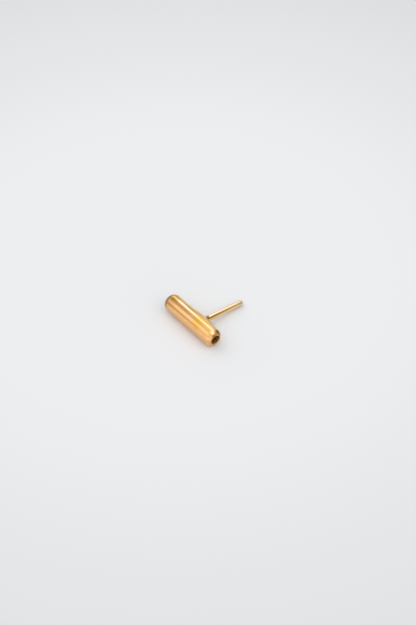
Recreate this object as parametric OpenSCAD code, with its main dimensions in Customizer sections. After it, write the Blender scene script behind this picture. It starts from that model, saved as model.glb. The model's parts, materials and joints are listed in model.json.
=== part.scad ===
// Gold bar stud earring: a short thick-walled tube with rounded ends, and an ear post soldered to its back.
// It lies as it rests on a table: the bar along X on Z = 0, and the round tip of the post touching Z = 0 too.
// Millimetres. The origin is the centre of the box round the whole stud, on the table.

/* [Bar] */
// Outer diameter of the bar
bar_d = 2.5; // [2.4:0.1:2.9]
// Length of the bar, over its rounded ends
bar_len = 9.85; // [9.4:0.05:20.0]
// Diameter of the bore that runs through the bar
bore_d = 1.4; // [1.3:0.1:1.6]
// Radius that rounds each end, from the side of the bar to the bore
end_round = 0.85; // [0.8:0.05:0.9]
// Width of the chamfer that breaks the edge of the bore
lip_chamfer = 0.05; // [0.02:0.01:0.08]

/* [Post] */
// Diameter of the ear post
post_d = 0.8; // [0.6:0.05:1.0]
// Length of the post from the back of the bar to its tip
post_len = 6.85; // [5.0:0.05:12.0]
// How far the post stands from the middle of the bar, towards +X
post_offset = 1.0; // [-1.0:0.05:1.0]

/* [Solder] */
// How far the solder swells from the back of the bar round the post
swell_rise = 0.28; // [0.2:0.02:0.36]
// Diameter of the swelling's round, seen along the bar
swell_d = 2.2; // [2.0:0.05:2.2]
// How far the swelling reaches along the back of the bar, to each side of the post
swell_reach = 2.2; // [2.0:0.1:2.4]
// Radius of the hollow fillet between the swelling and the post
fillet_round = 0.6; // [0.5:0.05:0.8]
// How far the fillet's foot reaches from the post
fillet_width = 0.3; // [0.2:0.05:0.3]

/* [Hidden] */

$fn = 96;

// How far a cutter runs past the face that it cuts
overshoot = 0.1;

bar_r = bar_d / 2;
bore_r = bore_d / 2;
post_r = post_d / 2;

// The bar ends where its rounding meets the chamfer of the bore
lip_r = bore_r + lip_chamfer;

// Centre of an end's rounding in the half section: how far from the bar's axis, and how far along it
round_r = bar_r - end_round;
round_x = bar_len / 2 - sqrt(end_round ^ 2 - (lip_r - round_r) ^ 2);

// The swelling is a round rod, bent so that its two ends dive into the bar
swell_r = swell_d / 2;
swell_centre = bar_r + swell_rise - swell_r;
swell_bend = (swell_reach ^ 2 + swell_rise ^ 2) / (2 * swell_rise) - swell_r;

// The rod is cut off inside the bar, a little past the places where it dives in
swell_spare = 1.2;
swell_len = 2 * swell_spare * swell_reach;

// Places along the post, from the bar's axis outwards
post_start = (bore_r + bar_r) / 2;
tip_centre = bar_r + post_len - post_r;
fillet_r = post_r + fillet_width;
fillet_sink = 0.05;
fillet_foot = swell_centre + sqrt(swell_r ^ 2 - fillet_r ^ 2) - fillet_sink;
fillet_height = sqrt(fillet_round ^ 2 - (fillet_round - fillet_width) ^ 2);

// Lying free, the stud tips until the round tip of the post meets the table
rest_tilt = asin((bar_r - post_r) / tip_centre);

// How far the bar's axis lies from the middle of the box, along Y
tip_reach = tip_centre * cos(rest_tilt) + post_r;
axis_y = (bar_r - tip_reach) / 2;

// Half section of the bar with full ends: X is the distance from the bar's axis, Y the place along the bar
module bar_section() {
    full_half = round_x + end_round;
    difference() {
        translate([0, -full_half])
            square([bar_r, 2 * full_half]);
        for (end = [0, 1])
            mirror([0, end])
                translate([round_r, round_x])
                    difference() {
                        square(end_round + overshoot);
                        circle(r = end_round);
                    }
    }
}

module bar() {
    rotate([0, 90, 0])
        rotate_extrude()
            bar_section();
}

// The bore and the chamfers at its two ends, as one cutter
module bore() {
    cut_len = bar_len + 2 * end_round;
    chamfer_len = lip_chamfer + 2 * overshoot;
    rotate([0, 90, 0]) {
        cylinder(r = bore_r, h = cut_len, center = true);
        for (end = [0, 1])
            mirror([0, 0, end])
                translate([0, 0, bar_len / 2 - lip_chamfer - overshoot])
                    cylinder(r1 = bore_r - overshoot, r2 = lip_r + overshoot, h = chamfer_len);
    }
}

// Solder that has flowed along the back of the bar.
// It stands like the post, along Z, with the bar's axis at Z = 0.
module swelling() {
    intersection() {
        translate([0, 0, swell_centre - swell_bend])
            rotate([90, 0, 0])
                rotate_extrude()
                    translate([swell_bend, 0])
                        circle(r = swell_r);
        translate([0, 0, swell_centre])
            cube([swell_len, bar_d, bar_d], center = true);
    }
}

module post() {
    translate([0, 0, post_start])
        cylinder(r = post_r, h = tip_centre - post_start);
    translate([0, 0, tip_centre])
        sphere(r = post_r);
}

module fillet() {
    rotate_extrude()
        difference() {
            translate([0, fillet_foot])
                square([fillet_r, fillet_height]);
            translate([post_r + fillet_round, fillet_foot + fillet_height])
                circle(r = fillet_round);
        }
}

// Soldered metal is one solid
module bar_stud() {
    color("goldenrod")
        translate([0, axis_y, bar_r])
            difference() {
                union() {
                    bar();
                    translate([post_offset, 0, 0])
                        rotate([-90 - rest_tilt, 0, 0]) {
                            post();
                            swelling();
                            fillet();
                        }
                }
                bore();
            }
}

bar_stud();
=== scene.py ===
"""Looks for the gold bar stud: polished metal, fine wear, painted shade and light, a soft white studio and
the photo's camera.
"""

import json
import math

import bmesh
import bpy
from mathutils import Matrix, Vector


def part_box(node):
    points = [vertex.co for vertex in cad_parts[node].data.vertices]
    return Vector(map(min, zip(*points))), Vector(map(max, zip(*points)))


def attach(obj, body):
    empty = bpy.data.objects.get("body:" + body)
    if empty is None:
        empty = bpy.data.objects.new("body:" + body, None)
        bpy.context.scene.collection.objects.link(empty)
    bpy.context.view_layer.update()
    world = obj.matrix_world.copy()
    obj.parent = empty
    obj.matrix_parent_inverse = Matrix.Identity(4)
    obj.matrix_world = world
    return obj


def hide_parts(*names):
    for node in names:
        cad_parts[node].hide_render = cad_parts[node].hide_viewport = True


MM = 0.001
BODY = "root"
NODE = "bar_stud"

# Camera: where the photo was taken from
CAMERA_ELEVATION = math.radians(45.1)
# Angle from the bar's axis to the camera's right-hand direction, seen from above
CAMERA_TURN = math.radians(50.65)
# From the camera to the place that it aims at
CAMERA_DISTANCE = 200 * MM
CLIP_NEAR = 1 * MM
CLIP_FAR = 10
SENSOR_WIDTH_MM = 36.0
# Size of the picture in pixels, and its scale at the bar
IMAGE_WIDTH = 416
IMAGE_HEIGHT = 625
PIXELS_PER_METRE = 7385.0
# Where the middle of the bar's axis appears, in pixels from the picture's top left corner
BAR_PIXEL = (192.35, 319.75)

# Bar
END_ROUND = 0.85 * MM
LIP_ROUND = 0.05 * MM
BAR_SEGMENTS = 192
BAR_STEPS = 120
BORE_STEPS = 24
END_STEPS = 14
LIP_STEPS = 5
# A face belongs to the bore if its middle lies less than this outside the bore's wall
BORE_SPARE = LIP_ROUND / 8
# Place of the bore's metal among the bar's materials
BORE_MATERIAL = 1

# Polish wave: the slight unevenness that hand polishing leaves. The side of the bar has the whole of it.
WAVE_DEPTH = 0.004 * MM
WHOLE_WAVE = 1.0
NO_WAVE = 0.0
# Two waves about a mean. A pace is in radians for each millimetre along the bar, a sway bends the wave
# round the bar, and a shift moves it.
WAVE_MEAN = 0.5
SLOW_PACE = 0.9
SLOW_SWAY = 1.3
SLOW_SHIFT = 0.4
SLOW_SHARE = 0.33
QUICK_PACE = 2.1
QUICK_SWAY = 2.0
QUICK_SHIFT = 1.1
QUICK_SHARE = 0.17

# Post and solder
POST_SEGMENTS = 96
POST_STEPS = 40
TIP_STEPS = 12
SOLDER_STEPS = 14
# Width of the solder along the bar, towards its far and near ends, and across the bar
SOLDER_FAR = 0.36 * MM
SOLDER_NEAR = 0.30 * MM
SOLDER_ACROSS = 0.30 * MM
# Height of the solder on the post above the swelling
SOLDER_HEIGHT = 0.28 * MM
# The solder's swelling on the back of the bar: how far it rises, the radius of its round, how far it
# reaches to each side, and how softly it blends in
SWELL_RISE = 0.28 * MM
SWELL_RADIUS = 1.1 * MM
SWELL_REACH = 2.2 * MM
SWELL_BLEND = 0.08 * MM
# How far the post's mesh runs into the bar, and how far the foot of the solder sinks into it
ROOT_DEPTH = 0.5 * MM
FOOT_SINK = 0.02 * MM

# Metals: lighter and darker colour, least and greatest roughness, axis of the polishing streaks, and depth
# of the bumps
X_AXIS = 0
Z_AXIS = 2
METALS = {
    "bar_metal": ((0.99, 0.585, 0.265), (0.97, 0.555, 0.235), 0.09, 0.15, X_AXIS, 0.0006 * MM),
    "bore_metal": ((0.72, 0.44, 0.13), (0.62, 0.36, 0.09), 0.45, 0.60, X_AXIS, 0.002 * MM),
    "post_metal": ((0.97, 0.72, 0.42), (0.93, 0.66, 0.36), 0.12, 0.20, Z_AXIS, 0.001 * MM),
}
# Noise in the metals: scale, with lengths in millimetres, and detail
CLOUDS = (0.7, 3)
STREAKS = (3.0, 6)
GRAIN = (18.0, 4)
# How fine the noise is along each axis: streaks are long along the piece and narrow across it
EVEN = (1, 1, 1)
STREAK_ALONG = 0.15
STREAK_ACROSS = 6.0
# Most of the noise lies between the low and the high value
NOISE_LOW = 0.35
NOISE_MIDDLE = 0.5
NOISE_HIGH = 0.65

# Painted patches: middle and reach, in millimetres in the piece's own axes; softness of the edge as a share
# of the reach; how strongly the patch covers; its colour. Most are painted shade, painted reflections and
# painted highlights; middle, middle_front and near_top only tint the gold yellower.
# Dark brown of painted shade, on the ends of the bar and at the root of the post
PAINTED_SHADE = (0.22, 0.11, 0.03)
BAR_PAINTED_SHADE_LIGHT_AND_TINT = {
    # Painted reflection: back darkens the bar's back edge to an olive line, where it reflects dark
    # surroundings
    "back": ((-1.5, 1.5, 0.6), (7.5, 0.95, 2.0), 0.4, 1.0, (0.74, 0.49, 0.135)),
    # Painted shade: front_low darkens the lower front edge, where it reflects the table's shade
    "front_low": ((0, -1.25, 0.03), (12.0, 0.6, 0.2), 0.8, 1.0, (0.82, 0.48, 0.21)),
    # Painted reflection: back_far darkens the upper back of the far half
    "back_far": ((-0.8, 0.58, 1.1), (0.9, 0.42, 0.4), 0.8, 0.8, (0.70, 0.46, 0.07)),
    # Painted highlight: pale whitens the bright streak along the top
    "pale": ((-1.6, 0.03, 1.25), (2.1, 0.16, 0.4), 0.8, 1.0, (0.86, 0.61, 0.37)),
    "middle": ((1.75, -0.1, 1.3), (1.0, 1.1, 0.8), 0.9, 0.8, (0.97, 0.56, 0.12)),
    "middle_front": ((1.8, -0.9, 0.85), (0.7, 0.4, 0.4), 0.9, 0.8, (0.93, 0.52, 0.12)),
    "near_top": ((3.8, -0.42, 1.18), (0.5, 0.4, 0.4), 0.9, 0.8, (0.97, 0.56, 0.12)),
    # Painted shade: far_top, far_haze and far_end darken the far end
    "far_top": ((-4.0, 0.3, 1.2), (0.85, 0.6, 0.5), 0.8, 1.0, (0.72, 0.42, 0.10)),
    "far_haze": ((-4.7, -0.75, 1.1), (1.5, 1.0, 0.9), 0.8, 0.32, PAINTED_SHADE),
    "far_end": ((-9.15, -0.98, 0), (5.0, 5.0, 5.0), 0.06, 0.72, PAINTED_SHADE),
    # Painted shade: near_shade, near_end and near_lip darken the near end's rounding and lip, where they
    # reflect dark surroundings
    "near_shade": ((4.3, 0.68, 1.05), (0.5, 0.42, 0.4), 0.9, 0.65, (0.60, 0.36, 0.11)),
    "near_end": ((4.61, 0.75, 0.58), (0.30, 0.50, 0.75), 0.4, 0.9, PAINTED_SHADE),
    "near_lip": ((5.06, 0, 0), (0.20, 2.0, 2.0), 0.4, 0.35, PAINTED_SHADE),
}
BORE_PAINTED_LIGHT = {
    # Painted light: mouth lightens the bore's lower wall just inside the opening, where light falls in
    "mouth": ((4.95, -0.30, -0.62), (0.55, 0.45, 0.45), 0.9, 1.0, (0.98, 0.70, 0.33)),
}
POST_PAINTED_SHADE = {
    # Painted shade: foot and below darken the post near the bar
    "foot": ((0, 0, 1.2), (0.85, 0.85, 0.62), 0.6, 1.0, (0.82, 0.53, 0.17)),
    "below": ((0.39, 0.17, 2.0), (0.32, 0.32, 1.5), 0.9, 0.8, (0.84, 0.54, 0.20)),
    # Painted reflection: core is a dark streak along the post's middle, darkest near the bar
    "core": ((0.28, -0.285, 2.3), (0.115, 0.115, 2.7), 1.6, 0.95, (0.40, 0.27, 0.03)),
    # Painted shade: root darkens the crevice where the post meets the bar
    "root": ((0.0, -0.42, 1.83), (0.36, 0.22, 0.23), 0.5, 0.9, PAINTED_SHADE),
    # Painted reflection: tip makes the post's tip duller and greyer
    "tip": ((0, 0, 8.1), (1.0, 1.0, 0.8), 0.8, 0.9, (0.74, 0.64, 0.44)),
}

# Table: a painted pool of light, lightest round a place beyond the far end of the bar, and darkening between
# two distances from it
FLOOR_HALF = 0.6
FLOOR_LIGHT_PLACE = (-11 * MM, 2.5 * MM, 0)
FLOOR_NEAR = 30 * MM
FLOOR_FAR = 90 * MM
FLOOR_LIGHT = (0.848, 0.856, 0.872)
FLOOR_EDGE = (0.695, 0.702, 0.717)
FLOOR_ROUGHNESS = 0.6

# Light tent: it stands round the bar. A place on it is two angles in degrees: round the bar's axis from the
# post's side (0) over the top (90) to the front (180), and from the near end of the axis (0) to its far
# end (180).
TENT_RADIUS = 50 * MM
TENT_SEGMENTS = 96
TENT_RINGS = 48
# Brightness where no panel is
BASE_LIGHT = 0.50
# Each panel: first edge, last edge and softness round the bar; the same three along it; brightness.
# A later panel covers an earlier one.
PANELS = {
    "far_fill": (60, 215, 24, 130, 180, 8, 0.86),
    "front_gap": (140, 180, 14, 113, 120.8, 3, 0.80),
    "low_back": (-12, 24, 24, 90, 150, 30, 0.76),
    "low_back_near": (0, 30, 20, 106, 121, 8, 0.98),
    "low_front": (169, 215, 17, 20, 126, 10, 1.03),
    "low_front_near": (166, 215, 15, 20, 114, 12, 1.30),
    "near_front": (105, 168, 20, 14, 110, 18, 0.89),
    "window": (113, 150, 18, 96, 150, 12, 1.02),
    "window_core": (108, 130, 14, 100, 123, 8, 1.22),
    "back_strip": (34, 63, 26, 97, 150, 12, 1.75),
    "top_fill": (69, 107, 14, 60, 122.5, 10, 0.80),
    "top_box": (61, 96, 26, 45, 113, 22, 1.80),
    "near_side": (-30, 40, 24, 54, 100, 14, 0.62),
    "post_glow": (44, 66, 12, 66, 92, 12, 1.15),
    "near_end": (-60, 110, 40, 0, 26, 20, 0.26),
}
# The tent's dim parts are warmer than its middling ones, and its brightest parts are cooler
DIM_LEVEL = 0.45
PLAIN_LEVEL = 0.9
BRIGHT_LEVEL = 1.6
DIM_TINT = (1.0, 0.92, 0.62)
WHITE = (1, 1, 1)
BRIGHT_TINT = (1.0, 1.0, 1.35)

# Room outside the tent: its light falls only on the table, from overhead, a little from the front, and from
# beyond the bar's two ends
ROOM_FROM_ABOVE = 1.20
ROOM_FROM_FRONT = 0.06
ROOM_FROM_ENDS = 0.80


def finish_mesh(bm, name):
    """Turns a bmesh into a smooth object in the scene."""
    bmesh.ops.recalc_face_normals(bm, faces=bm.faces)
    for face in bm.faces:
        face.smooth = True
    mesh = bpy.data.meshes.new(name)
    bm.to_mesh(mesh)
    bm.free()
    piece = bpy.data.objects.new(name, mesh)
    bpy.context.scene.collection.objects.link(piece)
    return piece


def bridge(bm, first, second):
    """Quads between two rings with the same number of vertices."""
    count = len(first)
    for k in range(count):
        after = (k + 1) % count
        bm.faces.new((first[k], first[after], second[after], second[k]))


def polish_wave(x, angle):
    """Depth of the polish wave at a place on the bar."""
    along = x / MM
    slow = math.sin(SLOW_PACE * along + SLOW_SWAY * math.cos(angle + SLOW_SHIFT))
    quick = math.sin(QUICK_PACE * along - QUICK_SWAY * math.sin(angle) + QUICK_SHIFT)
    return WAVE_DEPTH * (WAVE_MEAN + SLOW_SHARE * slow + QUICK_SHARE * quick)


def soft_max(first, second):
    """The larger of two lengths, with a rounded change from one to the other."""
    gap = max(SWELL_BLEND - abs(first - second), 0.0)
    return max(first, second) + gap * gap / (4 * SWELL_BLEND)


def swollen(x, angle, radius, post_x):
    """Radius of the bar with the solder's swelling, a narrower round rod whose bent ends dive into the bar.
    The angle is measured round the bar from the post."""
    bend = (SWELL_REACH ** 2 + SWELL_RISE ** 2) / (2 * SWELL_RISE)
    away = x - post_x
    drop = bend - math.sqrt(max(bend ** 2 - away ** 2, 0.0))
    centre = radius + SWELL_RISE - SWELL_RADIUS - drop
    square = SWELL_RADIUS ** 2 - (centre * math.sin(angle)) ** 2
    if centre <= 0 or square <= 0:
        return radius
    return soft_max(radius, centre * math.cos(angle) + math.sqrt(square))


def lathe_ring(bm, x, radius, wave_share, post_x, post_lean):
    """One ring of vertices round the X axis. The polish wave only takes metal off.
    On the side of the bar, the swelling adds solder."""
    ring = []
    for k in range(BAR_SEGMENTS):
        angle = 2 * math.pi * k / BAR_SEGMENTS
        r = radius - wave_share * polish_wave(x, angle)
        if wave_share == WHOLE_WAVE:
            r = swollen(x, angle + post_lean, r, post_x)
        ring.append(bm.verts.new((x, r * math.cos(angle), r * math.sin(angle))))
    return ring


def end_profile(half, bar_r, bore_r):
    """Half section of one end, from the outside to the bore: x, radius and share of the polish wave."""
    ring_r = bar_r - END_ROUND
    lip_r = bore_r + LIP_ROUND
    # The lip's circle touches the end's big circle from inside, the wall of the bore and the bar's end
    lean = math.asin((lip_r - ring_r) / (END_ROUND - LIP_ROUND))
    lip_x = half - LIP_ROUND
    reach = lip_x - (END_ROUND - LIP_ROUND) * math.cos(lean)
    places = []
    for i in range(END_STEPS + 1):
        turn = (math.pi / 2 - lean) * i / END_STEPS
        across = math.cos(turn)
        places.append((reach + END_ROUND * math.sin(turn), ring_r + END_ROUND * across, across))
    for i in range(1, LIP_STEPS + 1):
        turn = math.pi / 2 - lean + (math.pi / 2 + lean) * i / LIP_STEPS
        places.append((lip_x + LIP_ROUND * math.sin(turn), lip_r + LIP_ROUND * math.cos(turn), NO_WAVE))
    return places


def build_bar(half, bar_r, bore_r, post_x, post_lean):
    """The tube: a closed ring of profile places swept round the X axis."""
    near_end = end_profile(half, bar_r, bore_r)
    far_end = [(-x, radius, share) for x, radius, share in reversed(near_end)]
    side_half = near_end[0][0]
    bore_half = near_end[-1][0]
    side = [(side_half * (2 * i / BAR_STEPS - 1), bar_r, WHOLE_WAVE) for i in range(1, BAR_STEPS)]
    inside = [(bore_half * (1 - 2 * i / BORE_STEPS), bore_r, NO_WAVE) for i in range(1, BORE_STEPS)]
    bm = bmesh.new()
    rings = []
    for x, radius, share in side + near_end + inside + far_end:
        rings.append(lathe_ring(bm, x, radius, share, post_x, post_lean))
    for first, second in zip(rings, rings[1:] + rings[:1]):
        bridge(bm, first, second)
    for face in bm.faces:
        middle = face.calc_center_median()
        if math.hypot(middle.y, middle.z) < bore_r + BORE_SPARE:
            face.material_index = BORE_MATERIAL
    return finish_mesh(bm, "bar_gold")


def solder_width(angle):
    """Width of the solder in a direction round the post; 0 points along the bar to its near end."""
    along = math.cos(angle)
    end = SOLDER_NEAR if along > 0 else SOLDER_FAR
    return SOLDER_ACROSS + (end - SOLDER_ACROSS) * along * along


def build_post(post_r, bar_r, tip_centre):
    """The post and its solder as one closed mesh: X along the bar, Z along the post, from the bar's axis."""
    bm = bmesh.new()
    rings = []
    swell_centre = bar_r + SWELL_RISE - SWELL_RADIUS

    def on_bar(angle, r):
        """Height of the swelling's surface at a place round the post."""
        return swell_centre + math.sqrt(SWELL_RADIUS ** 2 - (r * math.sin(angle)) ** 2)

    def add_ring(radius, height):
        """A ring whose radius and height are functions of the angle round the post."""
        ring = []
        for k in range(POST_SEGMENTS):
            angle = 2 * math.pi * k / POST_SEGMENTS
            r = radius(angle)
            ring.append(bm.verts.new((r * math.cos(angle), r * math.sin(angle), height(angle, r))))
        rings.append(ring)

    def shaft_height(angle, r, share):
        """Height at a share of the way from the top of the solder to the centre of the tip."""
        low = on_bar(angle, r) + SOLDER_HEIGHT
        return low + (tip_centre - low) * share

    add_ring(lambda angle: post_r, lambda angle, r: on_bar(angle, r) - ROOT_DEPTH)
    for i in range(SOLDER_STEPS + 1):
        turn = math.pi / 2 * i / SOLDER_STEPS
        spread = 1 - math.sin(turn)
        rise = SOLDER_HEIGHT * (1 - math.cos(turn))
        sink = FOOT_SINK * math.cos(turn)
        add_ring(lambda angle: post_r + solder_width(angle) * spread,
                 lambda angle, r: on_bar(angle, r) + rise - sink)
    for i in range(1, POST_STEPS + 1):
        share = i / POST_STEPS
        add_ring(lambda angle: post_r, lambda angle, r: shaft_height(angle, r, share))
    for i in range(1, TIP_STEPS):
        turn = math.pi / 2 * i / TIP_STEPS
        add_ring(lambda angle: post_r * math.cos(turn), lambda angle, r: tip_centre + post_r * math.sin(turn))
    for first, second in zip(rings, rings[1:]):
        bridge(bm, first, second)
    tip = bm.verts.new((0, 0, tip_centre + post_r))
    foot = bm.verts.new((0, 0, bar_r + SWELL_RISE - ROOT_DEPTH))
    last = rings[-1]
    first = rings[0]
    for k in range(POST_SEGMENTS):
        after = (k + 1) % POST_SEGMENTS
        bm.faces.new((last[k], last[after], tip))
        bm.faces.new((first[after], first[k], foot))
    return finish_mesh(bm, "post_gold")


def feed(tree, value, socket):
    """Gives a socket a plain value or, if the value is another socket, a link. A plain colour is opaque."""
    if isinstance(value, bpy.types.NodeSocket):
        tree.links.new(value, socket)
    elif socket.type == "RGBA":
        socket.default_value = (*value, 1)
    else:
        socket.default_value = value


def math_node(tree, operation, *values):
    """One step of arithmetic on numbers."""
    node = tree.nodes.new("ShaderNodeMath")
    node.operation = operation
    for value, socket in zip(values, node.inputs):
        feed(tree, value, socket)
    return node.outputs["Value"]


def vector_node(tree, operation, *values):
    """One step of arithmetic on places or colours. A length or a distance is a number."""
    node = tree.nodes.new("ShaderNodeVectorMath")
    node.operation = operation
    for value, socket in zip(values, node.inputs):
        feed(tree, value, socket)
    return node.outputs["Value" if operation in ("LENGTH", "DISTANCE") else "Vector"]


def mapped(tree, place, move=(0, 0, 0), turn=(0, 0, 0), scale=(1, 1, 1)):
    """A place that is scaled, then turned, then moved."""
    node = tree.nodes.new("ShaderNodeMapping")
    node.inputs["Location"].default_value = move
    node.inputs["Rotation"].default_value = turn
    node.inputs["Scale"].default_value = scale
    tree.links.new(place, node.inputs["Vector"])
    return node.outputs["Vector"]


def ranged(tree, value, low, high, from_low=NOISE_LOW, from_high=NOISE_HIGH):
    """A value taken from one range, that of noise by default, to another, and held at its ends."""
    node = tree.nodes.new("ShaderNodeMapRange")
    node.inputs["From Min"].default_value = from_low
    node.inputs["From Max"].default_value = from_high
    node.inputs["To Min"].default_value = low
    node.inputs["To Max"].default_value = high
    tree.links.new(value, node.inputs["Value"])
    return node.outputs["Result"]


def mixed(tree, factor, first, second, kind="RGBA"):
    """A colour between two colours or, if the kind is FLOAT, a number between two numbers."""
    node = tree.nodes.new("ShaderNodeMix")
    node.data_type = kind
    feed(tree, factor, node.inputs["Factor"])
    feed(tree, first, node.inputs["A"])
    feed(tree, second, node.inputs["B"])
    return node.outputs["Result"]


def noise(tree, place, fineness, scale, detail):
    """Noise at a place, with lengths in millimetres and one factor of fineness for each axis."""
    texture = tree.nodes.new("ShaderNodeTexNoise")
    texture.inputs["Scale"].default_value = scale
    texture.inputs["Detail"].default_value = detail
    tree.links.new(mapped(tree, place, scale=[factor / MM for factor in fineness]), texture.inputs["Vector"])
    return texture.outputs["Fac"]


def painted_over(tree, place, colour, painted_patch, grain):
    """A colour under one painted patch, which is strongest in its middle. The grain makes its edge uneven."""
    middle, reach, soft, depth, patch_colour = painted_patch
    move = [-m / r for m, r in zip(middle, reach)]
    scale = [1 / (r * MM) for r in reach]
    away = vector_node(tree, "LENGTH", mapped(tree, place, move=move, scale=scale))
    ripple = math_node(tree, "MULTIPLY", math_node(tree, "SUBTRACT", grain, NOISE_MIDDLE), soft)
    uneven = math_node(tree, "ADD", away, ripple)
    cover = ranged(tree, uneven, 0, depth, 1 + soft / 2, 1 - soft / 2)
    return mixed(tree, cover, colour, patch_colour)


def new_material(name):
    """A material, its node tree and its shader."""
    material = bpy.data.materials.new(name)
    material.use_nodes = True
    tree = material.node_tree
    return material, tree, tree.nodes["Principled BSDF"]


def gold_material(name, painted_patches, turn=(0, 0, 0)):
    """Polished gold: colour, roughness and height vary with soft clouds and fine polishing streaks.
    The turn takes a place on the object to the piece's own axes."""
    bright, deep, smooth, rough, streak_axis, bump_depth = METALS[name]
    material, tree, shader = new_material(name)
    place = mapped(tree, tree.nodes.new("ShaderNodeTexCoord").outputs["Object"], turn=turn)
    streak = [STREAK_ALONG if axis == streak_axis else STREAK_ACROSS for axis in range(3)]
    clouds = noise(tree, place, EVEN, *CLOUDS)
    streaks = noise(tree, place, streak, *STREAKS)
    grain = noise(tree, place, EVEN, *GRAIN)
    colour = mixed(tree, ranged(tree, clouds, 0, 1), bright, deep)
    for painted_patch in painted_patches.values():
        colour = painted_over(tree, place, colour, painted_patch, grain)
    tree.links.new(colour, shader.inputs["Base Color"])
    tree.links.new(ranged(tree, streaks, smooth, rough), shader.inputs["Roughness"])
    shader.inputs["Metallic"].default_value = 1.0
    bump = tree.nodes.new("ShaderNodeBump")
    bump.inputs["Strength"].default_value = 1.0
    bump.inputs["Distance"].default_value = bump_depth
    tree.links.new(math_node(tree, "ADD", streaks, grain), bump.inputs["Height"])
    tree.links.new(bump.outputs["Normal"], shader.inputs["Normal"])
    return material


def floor_material():
    """A white table with a painted pool of light, a little darker away from the bar."""
    material, tree, shader = new_material("white_table")
    place = tree.nodes.new("ShaderNodeTexCoord").outputs["Object"]
    away = vector_node(tree, "DISTANCE", place, FLOOR_LIGHT_PLACE)
    painted_falloff = ranged(tree, away, 0, 1, FLOOR_NEAR, FLOOR_FAR)
    tree.links.new(mixed(tree, painted_falloff, FLOOR_LIGHT, FLOOR_EDGE), shader.inputs["Base Color"])
    shader.inputs["Roughness"].default_value = FLOOR_ROUGHNESS
    shader.inputs["Specular IOR Level"].default_value = 0.0
    return material


def soft_band(tree, angle, first, last, soft):
    """1 between two edges given in degrees, fading to 0 over the soft edge."""
    middle = math.radians((first + last) / 2)
    half = (last - first) / 2
    node = tree.nodes.new("ShaderNodeMapRange")
    node.interpolation_type = "SMOOTHSTEP"
    node.inputs["From Min"].default_value = math.radians(half + soft / 2)
    node.inputs["From Max"].default_value = math.radians(half - soft / 2)
    away = math_node(tree, "ABSOLUTE", math_node(tree, "SUBTRACT", angle, middle))
    tree.links.new(away, node.inputs["Value"])
    return node.outputs["Result"]


def tent_level(tree, direction):
    """The tent's brightness in a direction from its middle."""
    parts = tree.nodes.new("ShaderNodeSeparateXYZ")
    tree.links.new(direction, parts.inputs["Vector"])
    turn = math_node(tree, "ARCTAN2", parts.outputs["Z"], parts.outputs["Y"])
    lean = math_node(tree, "ARCCOSINE", parts.outputs["X"])
    light = BASE_LIGHT
    for turn_from, turn_to, turn_soft, lean_from, lean_to, lean_soft, level in PANELS.values():
        round_bar = soft_band(tree, turn, turn_from, turn_to, turn_soft)
        along_bar = soft_band(tree, lean, lean_from, lean_to, lean_soft)
        light = mixed(tree, math_node(tree, "MULTIPLY", round_bar, along_bar), light, level, "FLOAT")
    return light


def tent_material():
    """Glowing cloth, with the brightness of the panels and a tint that follows it."""
    material = bpy.data.materials.new("tent_light")
    material.use_nodes = True
    material.cycles.emission_sampling = "NONE"
    tree = material.node_tree
    tree.nodes.clear()
    place = tree.nodes.new("ShaderNodeTexCoord").outputs["Object"]
    level = tent_level(tree, vector_node(tree, "NORMALIZE", place))
    warm = mixed(tree, ranged(tree, level, 0, 1, DIM_LEVEL, PLAIN_LEVEL), DIM_TINT, WHITE)
    cool = mixed(tree, ranged(tree, level, 0, 1, PLAIN_LEVEL, BRIGHT_LEVEL), WHITE, BRIGHT_TINT)
    glow = tree.nodes.new("ShaderNodeEmission")
    tree.links.new(vector_node(tree, "MULTIPLY", warm, cool), glow.inputs["Color"])
    tree.links.new(level, glow.inputs["Strength"])
    output = tree.nodes.new("ShaderNodeOutputMaterial")
    tree.links.new(glow.outputs["Emission"], output.inputs["Surface"])
    return material


def add_tent(middle):
    """The tent that the gold reflects.
    It is hidden from the camera, and lets the room's light through to the table."""
    bm = bmesh.new()
    bmesh.ops.create_uvsphere(bm, u_segments=TENT_SEGMENTS, v_segments=TENT_RINGS, radius=TENT_RADIUS)
    tent = finish_mesh(bm, "light_tent")
    tent.location = middle
    tent.data.materials.append(tent_material())
    tent.visible_camera = False
    tent.visible_diffuse = False
    tent.visible_shadow = False


def add_world():
    """The room's light for the table, and a plain pale backdrop for the camera."""
    world = bpy.data.worlds.new("studio")
    bpy.context.scene.world = world
    world.use_nodes = True
    world.cycles.sampling_method = "NONE"
    tree = world.node_tree
    tree.nodes.clear()
    parts = tree.nodes.new("ShaderNodeSeparateXYZ")
    tree.links.new(tree.nodes.new("ShaderNodeTexCoord").outputs["Generated"], parts.inputs["Vector"])
    above = math_node(tree, "MULTIPLY", parts.outputs["Z"], ROOM_FROM_ABOVE)
    front = math_node(tree, "MULTIPLY", parts.outputs["Y"], -ROOM_FROM_FRONT)
    square = math_node(tree, "MULTIPLY", parts.outputs["X"], parts.outputs["X"])
    ends = math_node(tree, "MULTIPLY", square, ROOM_FROM_ENDS)
    level = math_node(tree, "ADD", math_node(tree, "ADD", above, front), ends)
    room = tree.nodes.new("ShaderNodeBackground")
    feed(tree, WHITE, room.inputs["Color"])
    feed(tree, math_node(tree, "MAXIMUM", level, 0.0), room.inputs["Strength"])
    backdrop = tree.nodes.new("ShaderNodeBackground")
    feed(tree, FLOOR_EDGE, backdrop.inputs["Color"])
    choose = tree.nodes.new("ShaderNodeMixShader")
    seen, if_not_seen, if_seen = choose.inputs
    tree.links.new(tree.nodes.new("ShaderNodeLightPath").outputs["Is Camera Ray"], seen)
    tree.links.new(room.outputs["Background"], if_not_seen)
    tree.links.new(backdrop.outputs["Background"], if_seen)
    output = tree.nodes.new("ShaderNodeOutputWorld")
    tree.links.new(choose.outputs["Shader"], output.inputs["Surface"])


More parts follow.
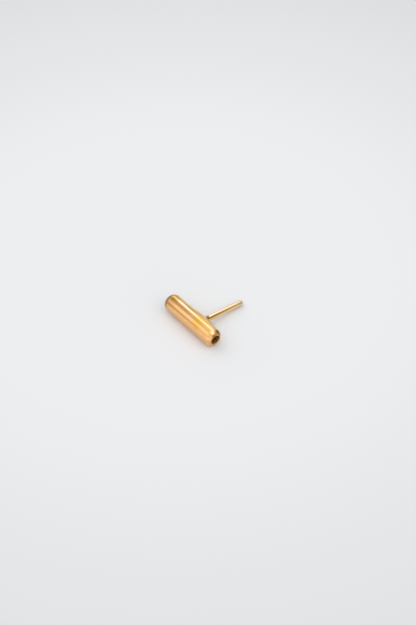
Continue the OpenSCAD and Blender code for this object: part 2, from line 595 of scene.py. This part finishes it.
def add_floor():
    """The plain table under the stud, far larger than the picture shows."""
    bm = bmesh.new()
    bmesh.ops.create_grid(bm, x_segments=1, y_segments=1, size=FLOOR_HALF)
    floor = finish_mesh(bm, "table_top")
    floor.data.materials.append(floor_material())


def camera_axes():
    """Unit vectors: the camera's right, its up, and from the scene to it."""
    right = Vector((math.cos(CAMERA_TURN), math.sin(CAMERA_TURN), 0))
    away = Vector((-math.sin(CAMERA_TURN), math.cos(CAMERA_TURN), 0))
    sky = Vector((0, 0, 1))
    up = away * math.sin(CAMERA_ELEVATION) + sky * math.cos(CAMERA_ELEVATION)
    back = sky * math.sin(CAMERA_ELEVATION) - away * math.cos(CAMERA_ELEVATION)
    return right, up, back


def add_camera(bar_middle):
    """The photo's camera, aimed so that the middle of the bar falls on the same pixel as in the photo."""
    right, up, back = camera_axes()
    to_right = (IMAGE_WIDTH / 2 - BAR_PIXEL[0]) / PIXELS_PER_METRE
    to_top = (BAR_PIXEL[1] - IMAGE_HEIGHT / 2) / PIXELS_PER_METRE
    aim = bar_middle + right * to_right + up * to_top
    data = bpy.data.cameras.new("photo_camera")
    data.sensor_width = SENSOR_WIDTH_MM
    # The sensor's width covers the longer side of the picture, its height
    data.lens = SENSOR_WIDTH_MM * CAMERA_DISTANCE * PIXELS_PER_METRE / IMAGE_HEIGHT
    data.clip_start = CLIP_NEAR
    data.clip_end = CLIP_FAR
    camera = bpy.data.objects.new("photo_camera", data)
    camera.location = aim + back * CAMERA_DISTANCE
    camera.rotation_euler = Matrix((right, up, back)).transposed().to_euler()
    bpy.context.scene.collection.objects.link(camera)
    bpy.context.scene.camera = camera


def show(piece, *materials):
    """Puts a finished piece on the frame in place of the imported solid."""
    for material in materials:
        piece.data.materials.append(material)
    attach(piece, BODY)
    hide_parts(NODE)


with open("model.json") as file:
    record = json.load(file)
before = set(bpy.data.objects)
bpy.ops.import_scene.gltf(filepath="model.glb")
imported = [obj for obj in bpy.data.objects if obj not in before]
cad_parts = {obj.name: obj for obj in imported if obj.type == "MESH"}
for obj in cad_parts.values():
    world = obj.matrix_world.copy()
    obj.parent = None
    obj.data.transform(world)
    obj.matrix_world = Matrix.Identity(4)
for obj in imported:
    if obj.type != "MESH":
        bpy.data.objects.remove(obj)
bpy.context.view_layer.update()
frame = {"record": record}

mounts = {mount["name"]: mount for mount in frame["record"]["mounts"]}
bore = mounts["tube_bore"]
pin = mounts["ear_post"]
low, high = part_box(NODE)
bar_radius = (high.z - low.z) / 2
bar_half = (high.x - low.x) / 2
bore_radius = bore["dims"]["r_mm"] * MM
post_radius = pin["dims"]["r_mm"] * MM
bar_middle = Vector(bore["pos_m"])
post_axis = Vector(pin["axis"]).normalized()
# The post's axis starts from the bar's, and its straight part ends at the centre of the round tip
post_root = Vector((pin["pos_m"][0], bar_middle.y, bar_middle.z))
tip_place = Vector(pin["pos_m"]) + post_axis * pin["dims"]["length_mm"] * MM / 2
post_lean = math.atan2(-post_axis.z, post_axis.y)

bar = build_bar(bar_half, bar_radius, bore_radius, post_root.x, post_lean)
bar.location = bar_middle
post = build_post(post_radius, bar_radius, (tip_place - post_root).length)
# The post's mesh is made in its own axes, and then turned to the way it leans
along_bar = Vector((1, 0, 0))
to_own_axes = Matrix((along_bar, post_axis.cross(along_bar), post_axis))
post.data.transform(to_own_axes.transposed().to_4x4())
post.location = post_root
show(bar, gold_material("bar_metal", BAR_PAINTED_SHADE_LIGHT_AND_TINT), gold_material("bore_metal", BORE_PAINTED_LIGHT))
show(post, gold_material("post_metal", POST_PAINTED_SHADE, to_own_axes.to_euler()))

add_floor()
add_tent(bar_middle)
add_world()
add_camera(bar_middle)
bpy.context.scene.view_settings.view_transform = "Standard"
